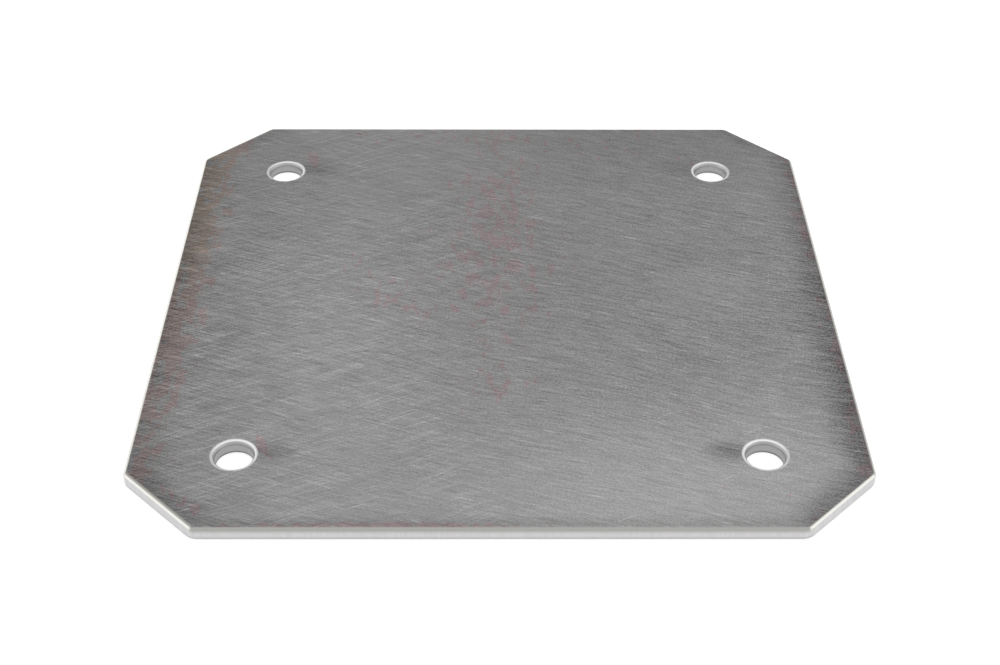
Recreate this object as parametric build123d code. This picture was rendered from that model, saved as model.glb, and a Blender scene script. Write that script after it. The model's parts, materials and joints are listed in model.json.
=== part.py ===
from build123d import *
import math
import os

# Square cover plate of sheet steel, with its four corners cut off at 45 degrees
# and a bolt hole near each corner. It is one piece, so it is one solid.
#
# Frame: the plate lies flat on its back face. The origin is the centre of that
# face, +Z points up out of the finished face, and X and Y follow the straight edges.

# Driving dimensions, in millimetres.
side = 175.0             # across opposite straight edges
thickness = 3.2          # of the sheet, 1/8 inch nominal
corner_cut = 18.0        # taken off both edges by each corner cut
corner_radius = 4.0      # upright rounding where an edge meets a corner cut
tip_radius = 2.5         # tighter rounding that the face arris follows there
hole_spacing = 125.0     # centre to centre, along X and along Y
hole_diameter = 9.0      # clears an M8 bolt
face_arris = 1.0         # rounding of the outer edges on the finished face
rim_arris = 1.2          # rounding of the hole rims on the finished face
back_arris = 0.6         # lighter rounding of the outer edges on the back face


def outline(radius):
    """The square with its corners cut off, and all eight tips rounded."""
    square = Rectangle(side, side)
    cut_square = chamfer(square.vertices(), corner_cut)
    return fillet(cut_square.vertices(), radius)


def blank():
    """The cut blank, its tips well rounded and its back edge broken."""
    plate = extrude(outline(corner_radius), amount=thickness)
    back_edges = plate.edges().group_by(Axis.Z)[0]
    return fillet(back_edges, back_arris)


def face_form():
    """The form that the face side is dressed to: a block with a rounded top edge.

    Its tips are tighter than the blank's, so the arris turns each tip almost as
    a mitre, and the upright rounding fades into it from below. The block hangs
    below the plate, so that only its top and sides cut.
    """
    block = extrude(outline(tip_radius), amount=2 * thickness)
    top_edges = block.edges().group_by(Axis.Z)[-1]
    return Pos(0, 0, -thickness) * fillet(top_edges, face_arris)


def cover_plate():
    """The finished plate: blank, face form, bolt holes, then their rims rounded."""
    plate = blank() & face_form()
    for place in GridLocations(hole_spacing, hole_spacing, 2, 2):
        plate -= place * Cylinder(hole_diameter / 2, 4 * thickness)
    circles = plate.edges().filter_by(GeomType.CIRCLE)
    rims = circles.filter_by(lambda edge: math.isclose(edge.radius, hole_diameter / 2))
    return fillet(rims.group_by(Axis.Z)[-1], rim_arris)


os.makedirs("parts", exist_ok=True)
export_step(cover_plate(), "parts/cover_plate.step")
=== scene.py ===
import json
import math

import bmesh
import bpy
from mathutils import Matrix, Vector


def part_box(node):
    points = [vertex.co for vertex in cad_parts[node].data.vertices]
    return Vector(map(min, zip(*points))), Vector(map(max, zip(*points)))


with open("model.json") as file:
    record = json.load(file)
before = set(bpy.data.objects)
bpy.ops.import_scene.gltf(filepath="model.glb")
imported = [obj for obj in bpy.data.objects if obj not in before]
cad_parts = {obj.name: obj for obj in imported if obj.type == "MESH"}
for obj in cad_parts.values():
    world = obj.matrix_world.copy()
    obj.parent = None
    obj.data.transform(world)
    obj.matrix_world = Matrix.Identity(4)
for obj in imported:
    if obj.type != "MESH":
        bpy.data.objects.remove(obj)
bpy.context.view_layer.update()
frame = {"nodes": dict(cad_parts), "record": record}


# ---------------------------------------------------------------- cover plate
# A square plate of mild steel sheet with its corners clipped and a bolt hole
# near each one. It is cut in one piece, rolled over at the edges and the hole
# rims, and its face is then rubbed by hand with an abrasive pad.

# Sizes in millimetres. The side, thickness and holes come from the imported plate.
low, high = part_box("cover_plate")
side, thickness = (high.x - low.x) * 1000, high.z * 1000
half = side / 2
bolts = next(m["dims"] for m in frame["record"]["mounts"] if m["name"] == "corner_holes")
hole_place, hole_radius = bolts["spacing_x_mm"] / 2, bolts["hole_r_mm"]
rim_arris = 1.2
corner_cut = 18.0
cut_reach = (side - corner_cut) * 0.5**0.5


def linear(colour):
    """Turns an sRGB hex colour into linear red, green, blue and alpha."""
    channels = [int(colour[i:i + 2], 16) / 255 for i in (1, 3, 5)]
    return *(c / 12.92 if c <= 0.04045 else ((c + 0.055) / 1.055) ** 2.4 for c in channels), 1.0


def add(tree, kind, inputs=None, **settings):
    """Adds a node with its settings and links.

    An input goes by its name, or its number among the inputs in use. It takes a
    value, a socket, or a node, which stands for that node's output in use.
    """
    node = tree.nodes.new("ShaderNode" + kind)
    for name, value in settings.items():
        setattr(node, name, value)
    live = [socket for socket in node.inputs if socket.enabled]
    for key, value in (inputs or {}).items():
        socket = live[key] if isinstance(key, int) else next(s for s in live if s.name == key)
        if isinstance(value, bpy.types.Node):
            value = next(s for s in value.outputs if s.enabled)
        if isinstance(value, bpy.types.NodeSocket):
            tree.links.new(value, socket)
        else:
            socket.default_value = value
    return node


# Brushed mild steel: dull grey, covered in short strokes of the pad that cross
# on one half of the face. It is darker at the sides, partly painted shade and partly
# where the pad ran off, and slightly rusty there. The rolled edges and punched holes
# are smooth, with painted highlights on them.
steel = bpy.data.materials.new("brushed_mild_steel")
steel.use_nodes = True
tree = steel.node_tree
tree.nodes.clear()

# Places on the plate in millimetres, how far each is below the face, and then, with
# the four quarters folded into one, how far across, along, outward to the corner,
# and from the hole.
at = add(tree, "VectorMath", {0: add(tree, "TexCoord").outputs["Object"], 1: 1000.0}, operation="SCALE")
x, y, z = add(tree, "SeparateXYZ", {0: at}).outputs
below = add(tree, "Math", {0: thickness, 1: z}, operation="SUBTRACT")
folded = add(tree, "VectorMath", {0: at}, operation="ABSOLUTE")
folded = add(tree, "VectorMath", {0: folded, 1: (1.0, 1.0, 0.0)}, operation="MULTIPLY")
across, along, _ = add(tree, "SeparateXYZ", {0: folded}).outputs
outward = add(tree, "VectorMath", {0: folded, 1: (0.5**0.5, 0.5**0.5, 0.0)}, operation="DOT_PRODUCT")
from_hole = add(tree, "VectorMath", {0: folded, 1: (hole_place, hole_place, 0.0)}, operation="DISTANCE")
leftward = add(tree, "MapRange", {
    "Value": x, "From Min": 30.0, "From Max": -35.0,
}, interpolation_type="SMOOTHSTEP")

# The hand swings as it rubs, so the strokes wander slowly, in millimetres.
swing_length, swing_width = 50, 6.0
swing = add(tree, "TexNoise", {"Vector": at, "Scale": 1 / swing_length, "Detail": 0.0})
swing = add(tree, "VectorMath", {0: swing.outputs["Color"], 1: (0.5, 0.5, 0.5)}, operation="SUBTRACT")
bent = add(tree, "VectorMath", {
    0: swing, 1: (swing_width, swing_width, 0.0), 2: at,
}, operation="MULTIPLY_ADD")


def strokes(turn, length, width, seed, detail=2.0):
    """Strokes of the pad in one direction, from about 0.2 to 0.8: degrees and millimetres."""
    stroke = add(tree, "Mapping", {
        "Vector": bent, "Location": (37.0 * seed, 53.0 * seed, 11.0 * seed),
        "Rotation": (0.0, 0.0, math.radians(turn)), "Scale": (length, width, 1.0),
    }, vector_type="TEXTURE")
    return add(tree, "TexNoise", {"Vector": stroke, "Scale": 1.0, "Detail": detail, "Roughness": 0.65})


def rubbed(passes):
    """Passes of the pad over each other, around 0: turn, length, width, seed and strength of each."""
    total = -0.5 * sum(strength for *_, strength in passes)
    for *stroke, strength in passes:
        total = add(tree, "Math", {0: strokes(*stroke), 1: strength, 2: total}, operation="MULTIPLY_ADD")
    return total


def patched(value, patches):
    """Adds soft round patches to a value: middle and reach in millimetres, degrees, and amount of each."""
    for middle, reach, turn, amount in patches:
        spot = add(tree, "Mapping", {
            "Vector": at, "Location": (*middle, thickness),
            "Rotation": (0.0, 0.0, math.radians(turn)), "Scale": (*reach, 1000.0),
        }, vector_type="TEXTURE")
        spot = add(tree, "VectorMath", {0: spot}, operation="LENGTH")
        spot = add(tree, "MapRange", {
            "Value": spot, "From Min": 0.0, "From Max": 1.0, "To Min": 1.0, "To Max": 0.0,
        }, interpolation_type="SMOOTHSTEP")
        value = add(tree, "Math", {0: spot, 1: amount, 2: value}, operation="MULTIPLY_ADD")
    return value


# Marks of the pad. Strokes that fall to the right run all over, and on the left
# half they cross others that rise. Real ones are finer, and are drawn as coarse
# as they need to be to show: 0.25 to 0.5 mm wide.
falling = rubbed((
    (-17, 6.0, 0.28, 1, 1.0), (-27, 7.0, 0.32, 2, 0.6), (-10, 6.0, 0.30, 3, 0.8), (-20, 18.0, 0.55, 4, 0.7),
))
rising = rubbed(((24, 12.0, 0.28, 6, 1.0), (13, 16.0, 0.36, 7, 0.7), (33, 18.0, 0.40, 8, 0.7)))
crossing = add(tree, "Math", {0: leftward, 1: 0.7}, operation="MULTIPLY")
marks = add(tree, "Math", {0: rising, 1: crossing, 2: falling}, operation="MULTIPLY_ADD")
grain = add(tree, "Math", {0: strokes(-5, 0.42, 0.34, 5, 0.0), 1: -0.5}, operation="ADD")
graininess = add(tree, "MapRange", {"Value": leftward, "To Min": 1.0, "To Max": 0.75})
marks = add(tree, "Math", {0: grain, 1: graininess, 2: marks}, operation="MULTIPLY_ADD")

# The pad bears hardest at the sides, more lightly in the middle, and least at
# the front and back.
pressed = add(tree, "MapRange", {
    "Value": along, "From Min": 15.0, "From Max": half, "To Min": 1.0, "To Max": 0.6,
})
firmer = add(tree, "MapRange", {"Value": leftward, "To Min": 1.03, "To Max": 0.97})
pressed = add(tree, "Math", {0: pressed, 1: firmer}, operation="MULTIPLY")
pressed = patched(pressed, [((12.0, 0.0), (50.0, 60.0), 0.0, -0.2)])
marks = add(tree, "Math", {0: marks, 1: pressed}, operation="MULTIPLY")


def scratched(sets):
    """Lone straight scratches: degrees, length, width, share of places, and depth in the middle of each."""
    deepest = 0.0
    for turn, length, width, chance, depth in sets:
        cell = add(tree, "Mapping", {
            "Vector": at, "Rotation": (0.0, 0.0, math.radians(turn)), "Scale": (length * 2, width * 2, 1.0),
        }, vector_type="TEXTURE")
        cell = add(tree, "TexVoronoi", {"Vector": cell, "Scale": 1.0}, voronoi_dimensions="2D")
        line = add(tree, "MapRange", {
            "Value": cell.outputs["Distance"], "From Min": 0.26, "From Max": 0.08, "To Max": depth,
        })
        luck = add(tree, "SeparateXYZ", {0: cell.outputs["Color"]})
        chosen = add(tree, "Math", {0: luck, 1: 1.0 - chance}, operation="GREATER_THAN")
        line = add(tree, "Math", {0: line, 1: chosen}, operation="MULTIPLY")
        deepest = add(tree, "Math", {0: deepest, 1: line}, operation="MAXIMUM")
    return deepest


# Some scratches are deeper and catch the light. There are more on the left half,
# where long faint ones cross.
scratches = scratched((
    (-16, 7.0, 0.5, 0.02, 0.45), (-23, 4.0, 0.45, 0.02, 0.45),
    (-18, 14.0, 0.4, 0.07, 0.22), (28, 7.0, 0.4, 0.02, 0.28),
))
crossed = scratched((
    (22, 6.0, 0.5, 0.03, 0.42), (-19, 4.0, 0.5, 0.05, 0.4), (31, 22.0, 0.42, 0.14, 0.32),
    (24, 18.0, 0.4, 0.16, 0.32), (17, 14.0, 0.4, 0.13, 0.25), (-27, 12.0, 0.4, 0.13, 0.26),
))
crossed = add(tree, "Math", {0: crossed, 1: leftward}, operation="MULTIPLY")
scratches = add(tree, "Math", {0: scratches, 1: crossed}, operation="MAXIMUM")

# Darker towards the margins: ragged bands along the sides and the corner cuts,
# a line at the front, a wide fade on the left, and streaks that trail off to the
# right of the left holes and to the left of the right ones. This is painted shade,
# and in part also where the pad ran off.
ragged = add(tree, "Math", {0: strokes(-12, 9.0, 1.0, 21), 1: -0.5}, operation="ADD")
sides = add(tree, "Math", {0: ragged, 1: 11.0, 2: across}, operation="MULTIPLY_ADD")
sides = add(tree, "MapRange", {"Value": sides, "From Min": half - 10.0, "From Max": half + 1.0})
sides = add(tree, "Math", {0: sides, 1: 1.4}, operation="POWER")
rightward = add(tree, "MapRange", {
    "Value": x, "From Min": -half, "From Max": half, "To Min": 0.6, "To Max": 1.05,
})
sides = add(tree, "Math", {0: sides, 1: rightward}, operation="MULTIPLY")
cuts = add(tree, "VectorMath", {0: folded, 1: (1.0, 1.0, 0.0)}, operation="DOT_PRODUCT")
cuts = add(tree, "Math", {0: ragged, 1: 8.0, 2: cuts}, operation="MULTIPLY_ADD")
cuts = add(tree, "MapRange", {
    "Value": cuts, "From Min": side - corner_cut - 12.0, "From Max": side - corner_cut,
})
forward = add(tree, "MapRange", {
    "Value": y, "From Min": half, "From Max": -half, "To Min": 0.3, "To Max": 0.8,
})
cuts = add(tree, "Math", {0: cuts, 1: forward}, operation="MULTIPLY")
front = add(tree, "MapRange", {
    "Value": y, "From Min": 5.0 - half, "From Max": 2.0 - half, "To Max": 0.45,
}, interpolation_type="SMOOTHSTEP")
fade = add(tree, "MapRange", {"Value": x, "From Min": 45.0 - half, "From Max": -half, "To Max": 0.36})
shade_and_wear = add(tree, "Math", {0: sides, 1: cuts}, operation="MAXIMUM")
shade_and_wear = add(tree, "Math", {0: shade_and_wear, 1: front}, operation="MAXIMUM")
shade_and_wear = add(tree, "Math", {0: shade_and_wear, 1: fade}, operation="ADD")
streak_reach = (10.0, 5.5)
shade_and_wear = patched(shade_and_wear, (
    ((half, -62.0), (11.0, 32.0), 0.0, 0.45), ((79.0, -77.0), (20.0, 10.0), 45.0, 0.4),
    ((74.0, -82.0), (10.0, 7.0), 45.0, 0.35), ((83.0, -25.0), (8.0, 58.0), 0.0, 0.22),
    ((-80.0, -66.0), (9.0, 14.0), 0.0, 0.3), ((-64.0, -77.0), (12.0, 8.0), 0.0, 0.25),
    ((8.0 - hole_place, 1.2 - hole_place), streak_reach, -10.0, 0.6),
    ((hole_place - 8.0, 1.2 - hole_place), streak_reach, -10.0, 1.1),
    ((8.0 - hole_place, hole_place + 1.2), streak_reach, -10.0, 0.5),
    ((hole_place - 8.0, hole_place + 1.2), streak_reach, -10.0, 0.3),
))
shade_and_wear = add(tree, "Math", {0: shade_and_wear, 1: 1.05}, operation="MINIMUM")

# Painted highlight: brighter patches on the left, at the front and its right
# corner, where the lamps' reflection falls. The right of the back is painted darker as shade.
painted_sheen = patched(0.0, (
    ((-44.0, -8.0), (48.0, 80.0), 0.0, 0.18), ((42.0, -76.0), (62.0, 44.0), 0.0, 0.25),
    ((0.0, -80.0), (150.0, 85.0), 0.0, 0.14), ((45.0, 84.0), (70.0, 45.0), 0.0, -0.16),
    ((66.0, -54.0), (26.0, 38.0), 0.0, 0.13), ((55.0, 2.0), (24.0, 20.0), 0.0, 0.12),
))

# How bright the face is, where plain steel is about 1. The crests of the strokes
# shine most.
plain_steel, contrast, crest_shine = 1.03, 1.15, 0.3
crests = add(tree, "Math", {0: marks, 1: crest_shine, 2: contrast}, operation="MULTIPLY_ADD")
tone = add(tree, "Math", {0: marks, 1: crests, 2: plain_steel}, operation="MULTIPLY_ADD")
# The painted highlight and the painted shade above go into the tone here.
tone = add(tree, "Math", {0: tone, 1: painted_sheen}, operation="ADD")
tone = add(tree, "Math", {0: shade_and_wear, 1: -0.5, 2: tone}, operation="MULTIPLY_ADD")
tone = add(tree, "Math", {0: tone, 1: scratches}, operation="ADD")

# A faint bloom of rust: pink clusters down the middle, along the back edge and in
# a fine line at the front, thick on the left side and brown towards its back.
speck = add(tree, "Mapping", {"Vector": at, "Scale": (2.6, 5.4, 1.0)}, vector_type="TEXTURE")
speck = add(tree, "TexNoise", {"Vector": speck, "Scale": 1.0, "Detail": 5.0, "Roughness": 0.66})
left_side = add(tree, "MapRange", {"Value": x, "From Min": 15.0 - half, "From Max": 5.0 - half})
thinner = add(tree, "MapRange", {
    "Value": y, "From Min": -20.0, "From Max": -60.0, "To Min": 1.6, "To Max": 1.2,
})
right_side = add(tree, "MapRange", {
    "Value": x, "From Min": half - 6.0, "From Max": half - 1.0, "To Max": 1.35,
})
spread = add(tree, "Math", {0: left_side, 1: thinner, 2: right_side}, operation="MULTIPLY_ADD")
spread = patched(spread, (
    ((-1.0, 18.0), (32.0, 74.0), 0.0, 1.15), ((0.0, 58.0), (26.0, 36.0), 0.0, 0.6),
    ((-1.0, -38.0), (16.0, 20.0), 0.0, 0.6), ((-31.0, 4.0), (14.0, 34.0), 30.0, 0.9),
    ((0.0, 84.0), (95.0, 16.0), 0.0, 0.8), ((30.0, 72.0), (26.0, 10.0), 0.0, 0.5),
    ((-28.0, 1.3 - half), (60.0, 2.2), 0.0, 1.9), ((-71.0, -79.0), (12.0, 6.0), -45.0, 1.0),
    ((73.0, -81.0), (12.0, 5.0), 45.0, 0.9), ((-76.0, 77.0), (10.0, 5.0), 45.0, 0.9),
    ((7.0 - hole_place, 6.0 + hole_place), (8.0, 12.0), 0.0, 1.2),
    ((hole_place - 7.0, 6.0 + hole_place), (7.0, 10.0), 0.0, 1.2),
    ((6.0 - hole_place, 4.0 - hole_place), (7.0, 8.0), 0.0, 1.1),
))
bloom = add(tree, "Math", {0: spread, 1: 0.17, 2: speck}, operation="MULTIPLY_ADD")
bloom = add(tree, "MapRange", {"Value": bloom, "From Min": 0.685, "From Max": 0.71})
older = add(tree, "MapRange", {"Value": y, "From Min": -30.0, "From Max": 30.0, "To Min": 0.3})
older = add(tree, "Math", {0: left_side, 1: older}, operation="MULTIPLY")

# The stains as shares of the steel's own colour.
bare, pink, brown = (1.0, 1.0, 1.0, 1.0), (1.06, 0.86, 0.89, 1.0), (1.05, 0.88, 0.76, 1.0)
stain = add(tree, "Mix", {"Factor": older, "A": pink, "B": brown}, data_type="RGBA")
stain = add(tree, "Mix", {"Factor": bloom, "A": bare, "B": stain}, data_type="RGBA")
face_colour = add(tree, "VectorMath", {0: linear("#B3B3B3")[:3], 1: tone}, operation="MULTIPLY")
face_colour = add(tree, "VectorMath", {0: face_colour, 1: stain}, operation="MULTIPLY")

# The brushed face is flat. It ends at the rolled edges and hole rims, and a
# little sooner at the left corner cuts, which were dressed harder.
flat = add(tree, "MapRange", {"Value": below, "From Min": 0.02, "From Max": 0.004})
waver = add(tree, "TexNoise", {"Vector": at, "Scale": 1.1, "Detail": 2.0})
off_rim = add(tree, "Math", {0: waver, 1: 0.35, 2: from_hole}, operation="MULTIPLY_ADD")
rim_reach = hole_radius + rim_arris
off_rim = add(tree, "MapRange", {
    "Value": off_rim, "From Min": rim_reach + 0.1, "From Max": rim_reach + 0.2,
})
flat = add(tree, "Math", {0: flat, 1: off_rim}, operation="MULTIPLY")
past_cut = add(tree, "Math", {0: outward, 1: cut_reach}, operation="SUBTRACT")
inside = add(tree, "MapRange", {"Value": past_cut, "From Min": -1.2, "From Max": -1.4})
on_right = add(tree, "Math", {0: x, 1: 0.0}, operation="GREATER_THAN")
inside = add(tree, "Math", {0: inside, 1: on_right}, operation="MAXIMUM")
flat = add(tree, "Math", {0: flat, 1: inside}, operation="MULTIPLY")

# Sheared walls: paler and slightly streaked, and darker at their foot with a painted contact shadow.
sheared = add(tree, "Mapping", {"Vector": at, "Scale": (0.7, 0.7, 6.0)}, vector_type="TEXTURE")
sheared = add(tree, "TexNoise", {"Vector": sheared, "Scale": 1.0, "Detail": 2.0})
wall = add(tree, "Mix", {
    "Factor": sheared, "A": linear("#B4B4B5"), "B": linear("#C8C8C9"),
}, data_type="RGBA")
wall_foot_shade = add(tree, "MapRange", {"Value": z, "From Min": 0.9, "From Max": 0.4})
wall = add(tree, "Mix", {"Factor": wall_foot_shade, "A": wall, "B": linear("#A2A2A2")}, data_type="RGBA")

# Rolled edges above the walls, with a painted highlight: bright along the left
# side and the corner cuts, up to the mitre where a cut meets the front, and along
# the back towards its right. The front and the right side get little and stay duller.
mitre = cut_reach - half
side_band = {"From Min": half - 2.2, "From Max": half - 1.6}
at_side = add(tree, "MapRange", {"Value": across, **side_band})
to_cut = add(tree, "Math", {0: outward, 1: along}, operation="SUBTRACT")
at_cut = add(tree, "MapRange", {"Value": to_cut, "From Min": mitre - 0.1, "From Max": mitre + 0.2})
edge_highlight = add(tree, "Math", {0: at_side, 1: at_cut}, operation="MAXIMUM")
roll_start = add(tree, "MapRange", {"Value": edge_highlight, "To Min": 0.40, "To Max": 0.22})
roll_end = add(tree, "MapRange", {"Value": edge_highlight, "To Min": 1.5, "To Max": 0.52})
rolled = add(tree, "MapRange", {"Value": below, "From Min": roll_end, "From Max": roll_start})
at_back = add(tree, "MapRange", {"Value": y, "From Min": 0.0, "From Max": 10.0})
back_right = add(tree, "MapRange", {"Value": x, "From Min": -60.0, "From Max": 60.0, "To Max": 0.9})
at_back = add(tree, "Math", {0: at_back, 1: back_right}, operation="MULTIPLY")
edge_highlight = add(tree, "Math", {0: edge_highlight, 1: at_back}, operation="MAXIMUM")
off_cut = add(tree, "Math", {0: outward, 1: x}, operation="SUBTRACT")
off_cut = add(tree, "MapRange", {"Value": off_cut, "From Min": mitre + 0.2, "From Max": mitre - 0.1})
at_right = add(tree, "MapRange", {"Value": x, **side_band, "To Min": 0.0, "To Max": -0.85})
less_highlight = add(tree, "Math", {0: off_cut, 1: at_right, 2: 1.0}, operation="MULTIPLY_ADD")
edge_highlight = add(tree, "Math", {0: edge_highlight, 1: less_highlight}, operation="MULTIPLY")
# The rolled edges' colour, from a plain duller grey to the bright painted highlight.
edge_highlight = add(tree, "Mix", {
    "Factor": edge_highlight, "A": linear("#A3A29E"), "B": linear("#CFCEC8"),
}, data_type="RGBA")
edge = add(tree, "Mix", {"Factor": rolled, "A": wall, "B": edge_highlight}, data_type="RGBA")

# Punched holes: an uneven burnished rim with a painted highlight, over a plain bore with painted shade at
# its foot.
at_hole = add(tree, "Math", {0: from_hole, 1: hole_radius + 2.0}, operation="LESS_THAN")
rim_highlight = add(tree, "Mix", {
    "Factor": waver, "A": linear("#E0E0E2"), "B": linear("#F6F6F8"),
}, data_type="RGBA")
bore_foot_shade = add(tree, "MapRange", {"Value": z, "From Min": 0.3, "From Max": 0.6})
bore = add(tree, "Mix", {"Factor": bore_foot_shade, "A": linear("#7C7C7C"), "B": linear("#A4A4A4")}, data_type="RGBA")
rolled_rim = add(tree, "MapRange", {"Value": below, "From Min": 0.24, "From Max": 0.14})
bore = add(tree, "Mix", {"Factor": rolled_rim, "A": bore, "B": rim_highlight}, data_type="RGBA")

# The back keeps the mill finish of the sheet: soft clouds and long faint lines.
back = add(tree, "MapRange", {"Value": z, "From Min": 0.02, "From Max": 0.004})
clouds = add(tree, "TexNoise", {"Vector": at, "Scale": 1 / 22, "Detail": 4.0})
mill_lines = add(tree, "Math", {0: strokes(0, 90.0, 0.8, 31), 1: 1.1, 2: clouds}, operation="MULTIPLY_ADD")
mill_tone = add(tree, "MapRange", {"Value": mill_lines, "From Min": 0.6, "From Max": 1.5})
mill = add(tree, "Mix", {
    "Factor": mill_tone, "A": linear("#989897"), "B": linear("#B2B2B1"),
}, data_type="RGBA")

colour = add(tree, "Mix", {"Factor": at_hole, "A": edge, "B": bore}, data_type="RGBA")
colour = add(tree, "Mix", {"Factor": back, "A": colour, "B": mill}, data_type="RGBA")
colour = add(tree, "Mix", {"Factor": flat, "A": colour, "B": face_colour}, data_type="RGBA")

# The strokes are grooves too, and the rolled edges have only a slight waviness:
# depths in metres.
groove_depth, waver_depth = 0.000014, 0.00002
grooves = add(tree, "Math", {0: marks, 1: flat}, operation="MULTIPLY")
relief = add(tree, "Bump", {"Height": grooves, "Distance": groove_depth, "Strength": 1.0})
relief = add(tree, "Bump", {
    "Height": waver, "Distance": waver_depth, "Strength": 1.0, "Normal": relief,
})
edge_gloss = add(tree, "MapRange", {"Value": at_hole, "To Min": 0.28, "To Max": 0.45})
gloss = add(tree, "Mix", {"Factor": flat, "A": edge_gloss, "B": 0.36})
gloss = add(tree, "Mix", {"Factor": back, "A": gloss, "B": 0.45})
surface = add(tree, "BsdfPrincipled", {
    "Metallic": 1.0, "Base Color": colour, "Roughness": gloss, "Normal": relief,
})
add(tree, "OutputMaterial", {"Surface": surface})
frame["nodes"]["cover_plate"].material_slots[0].material = steel


# ---------------------------------------------------------------- white table
# A matt white table top that curves up all round into a low sweep, so that the
# steel mirrors the plain room above it. It is a surface with no thickness, in
# metres, and the plate lies a hair above it.

table_radius = 1.0
middle_radius = 0.02
sweep_radius = 0.5
sweep_steps = 12
table_drop = -0.00005
bm = bmesh.new()
rim = [bm.verts.new((radius, 0.0, table_drop)) for radius in (middle_radius, table_radius)]
for step in range(1, sweep_steps + 1):
    climb = step / sweep_steps * math.pi / 2
    lift = sweep_radius * (1 - math.cos(climb)) + table_drop
    rim.append(bm.verts.new((table_radius + sweep_radius * math.sin(climb), 0.0, lift)))
outline = [bm.edges.new(ends) for ends in zip(rim, rim[1:])]
bmesh.ops.spin(
    bm, geom=rim + outline, cent=(0, 0, 0), axis=(0, 0, 1), angle=2 * math.pi, steps=96, use_merge=True,
)
gap = [seam for seam in bm.edges if seam.is_boundary and seam.verts[0].co.z < sweep_radius / 2]
bmesh.ops.holes_fill(bm, edges=gap, sides=0)
bmesh.ops.recalc_face_normals(bm, faces=bm.faces)
bmesh.ops.reverse_faces(bm, faces=bm.faces)
for facet in bm.faces:
    facet.smooth = True
top = bpy.data.meshes.new("white_table")
bm.to_mesh(top)
bm.free()

# Matt white laminate: it looks evenly white, fades to a shadow only where the
# plate touches it, and isn't there at all when seen from below.
laminate = bpy.data.materials.new("matt_white_laminate")
laminate.use_nodes = True
tree = laminate.node_tree
tree.nodes.clear()
rays = add(tree, "LightPath")
seen = add(tree, "Math", {
    0: rays.outputs["Is Camera Ray"], 1: rays.outputs["Is Glossy Ray"],
}, operation="ADD")
seen = add(tree, "Math", {
    0: seen, 1: rays.outputs["Is Transmission Ray"],
}, operation="ADD", use_clamp=True)
glow = add(tree, "Math", {0: seen, 1: 0.5}, operation="MULTIPLY")
shine = add(tree, "Emission", {"Strength": glow})
matt = add(tree, "BsdfDiffuse", {"Color": linear("#DEDEDE")})
lit = add(tree, "AddShader", {0: matt, 1: shine})
under = add(tree, "NewGeometry").outputs["Backfacing"]
add(tree, "OutputMaterial", {
    "Surface": add(tree, "MixShader", {0: under, 1: lit, 2: add(tree, "BsdfTransparent")}),
})
top.materials.append(laminate)

table = bpy.data.objects.new("white_table", top)
bpy.context.scene.collection.objects.link(table)


# ---------------------------------------------------------------------- light
# A plain grey room: pale overhead, behind the camera and to both sides, and dim
# beyond the plate. Four faint soft panels stand low at the sides.

world = bpy.data.worlds.new("grey_room")
world.use_nodes = True
tree = world.node_tree
tree.nodes.clear()
lit_side = Vector((0.0, -0.6, 0.8))
towards = add(tree, "TexCoord").outputs["Generated"]
facing = add(tree, "VectorMath", {0: towards, 1: lit_side}, operation="DOT_PRODUCT")
room = add(tree, "MapRange", {
    "Value": facing, "From Min": -0.25, "From Max": 0.6, "To Min": 0.1, "To Max": 0.95,
})
overhead = add(tree, "MapRange", {"Value": facing, "From Min": 0.25, "From Max": 0.6, "To Max": 0.15})
room = add(tree, "Math", {0: room, 1: overhead}, operation="ADD")
sideways = add(tree, "VectorMath", {0: towards}, operation="ABSOLUTE")
sideways = add(tree, "SeparateXYZ", {0: sideways}).outputs["X"]
sideways = add(tree, "MapRange", {
    "Value": sideways, "From Min": 0.42, "From Max": 0.8, "To Max": 0.55,
}, interpolation_type="SMOOTHSTEP")
room = add(tree, "Math", {0: room, 1: sideways}, operation="ADD")
up = add(tree, "SeparateXYZ", {0: towards}).outputs["Z"]
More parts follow.
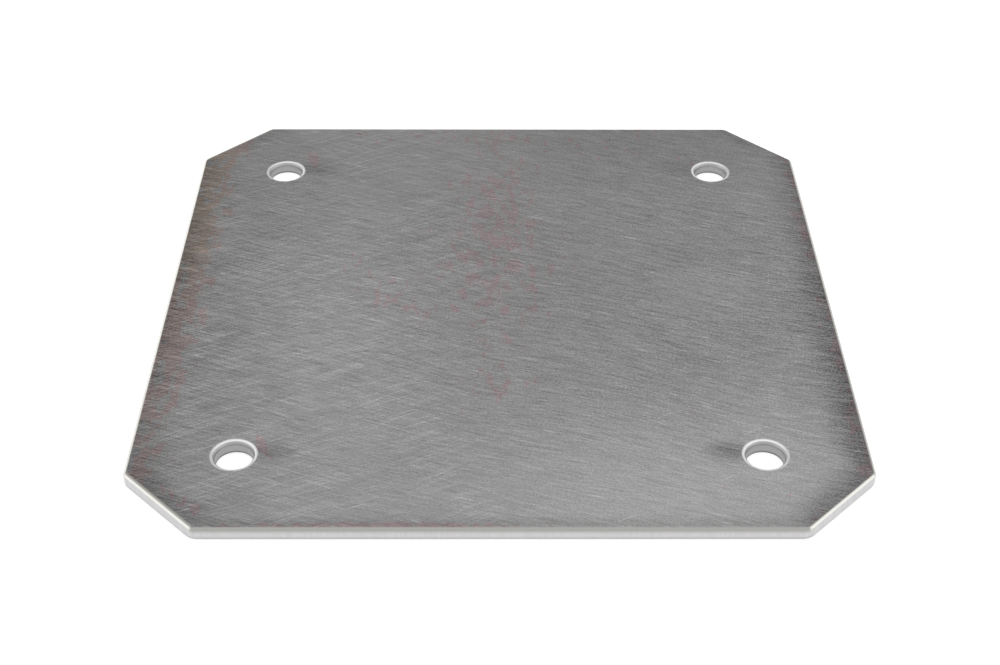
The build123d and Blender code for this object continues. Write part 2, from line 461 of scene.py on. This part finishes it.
underneath = add(tree, "MapRange", {"Value": up, "From Min": 0.0, "From Max": -0.3, "To Max": 0.85})
room = add(tree, "Math", {0: room, 1: underneath}, operation="MAXIMUM")
add(tree, "OutputWorld", {"Surface": add(tree, "Background", {"Color": room})})
bpy.context.scene.world = world

panel_distance = 1.15


def soft_panel(name, turn, rise, size, brightness):
    """A lamp that faces the plate: degrees, metres, and how bright it looks where white is 1."""
    turn, rise = math.radians(turn), math.radians(rise)
    place = Vector((math.cos(turn) * math.cos(rise), math.sin(turn) * math.cos(rise), math.sin(rise)))
    place *= panel_distance
    lamp = bpy.data.lights.new(name, "AREA")
    lamp.shape = "RECTANGLE"
    lamp.size, lamp.size_y = size
    lamp.energy = brightness * math.pi * size[0] * size[1]
    panel = bpy.data.objects.new(name, lamp)
    aim = (-place).to_track_quat("-Z", "Y").to_matrix().to_4x4()
    panel.matrix_world = Matrix.Translation(place) @ aim
    bpy.context.scene.collection.objects.link(panel)


soft_panel("right_panel", 12, 27, (0.93, 0.88), 0.3)
soft_panel("right_strip", 57, 14, (0.30, 0.30), 0.6)
soft_panel("left_panel", 168, 25, (0.84, 0.84), 0.3)
soft_panel("left_strip", 124, 12, (0.50, 0.35), 0.6)


# --------------------------------------------------------------------- camera
# Stands in front of the plate, two and a half plate widths from its middle, and
# looks down on it at about 38 degrees. Its place is in plate widths, and its
# angles in radians.

stand = [widths * side / 1000 for widths in (-0.01161, -2.01669, 1.50089)]
yaw, pitch, roll = 0.0066, 0.65536, 0.00435
lens = bpy.data.cameras.new("camera")
lens.sensor_width = 36.0
lens.lens = 1.65383 * lens.sensor_width
lens.clip_start = 0.01
camera = bpy.data.objects.new("camera", lens)
camera.matrix_world = (
    Matrix.Translation(stand)
    @ Matrix.Rotation(-yaw, 4, "Z")
    @ Matrix.Rotation(math.pi / 2 - pitch, 4, "X")
    @ Matrix.Rotation(roll, 4, "Z")
)
bpy.context.scene.collection.objects.link(camera)
bpy.context.scene.camera = camera
bpy.context.scene.view_settings.view_transform = "Standard"
